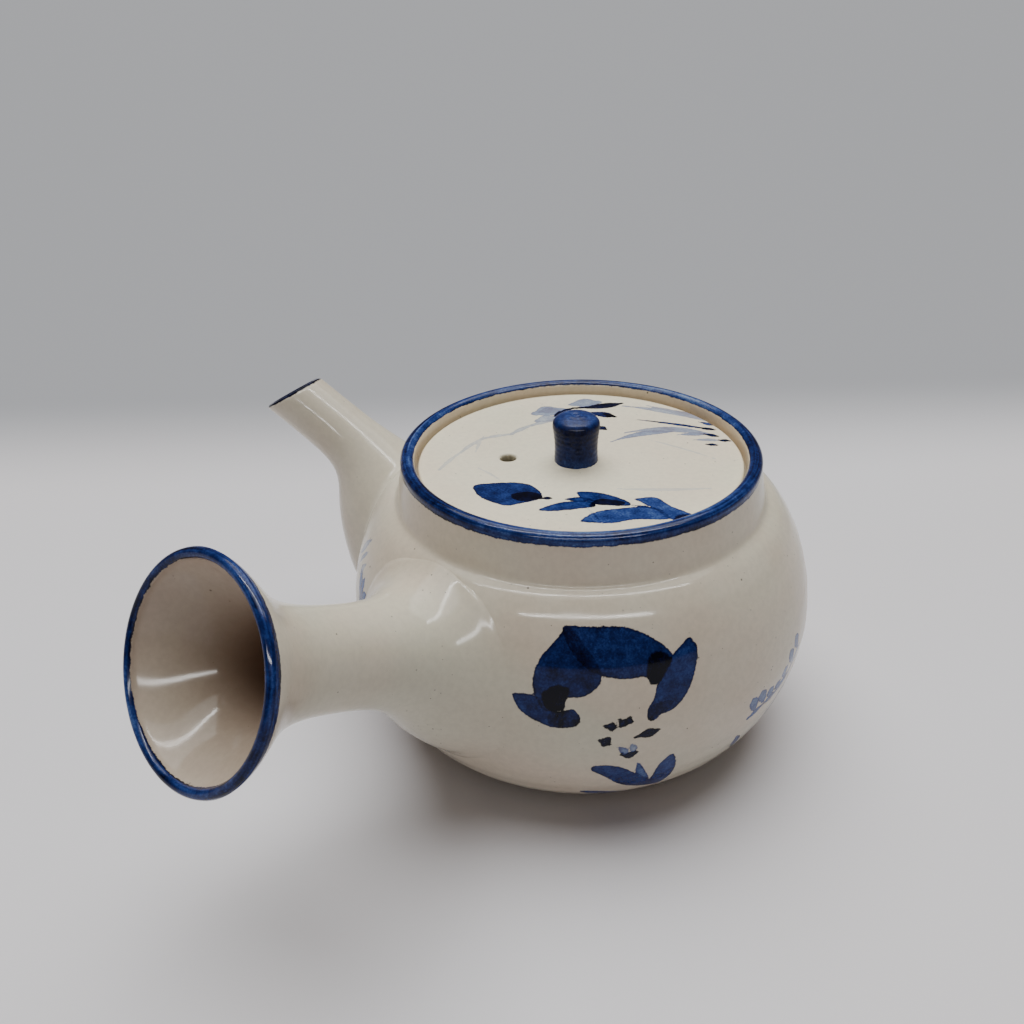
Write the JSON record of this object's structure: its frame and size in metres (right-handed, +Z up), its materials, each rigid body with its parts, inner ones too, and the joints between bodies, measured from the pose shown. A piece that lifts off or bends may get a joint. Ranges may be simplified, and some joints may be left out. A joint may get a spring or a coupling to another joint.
{
  "type": "teapot",
  "caption": "Side-handled glazed teapot: round bowl, curved spout, hollow trumpet handle, sunken flat lid with knob, inner strainer.",
  "frame": {"origin": "centre of the flat foot, on the pot's turning axis, at the surface it stands on", "axes": "+Z up along the pot's turning axis, +X towards the spout; the handle is turned 72.9 degrees from +X towards +Y"},
  "size_m": [0.1509, 0.175, 0.0898],
  "materials": {
    "glaze": "gloss",
    "lid_glaze": "gloss",
    "clay": "satin",
    "cobalt": "gloss"
  },
  "bodies": {
    "pot": {"pot_body": "glaze", "spout": "glaze", "handle": "glaze", "strainer": "clay"},
    "lid": {"lid": "lid_glaze", "lid_knob": "cobalt"}
  },
  "joints": [
    {"name": "lid_lift", "type": "slide", "parent": "pot", "child": "lid", "axis": [0, 0, 1], "range_m": [0, 0.06]}
  ]
}
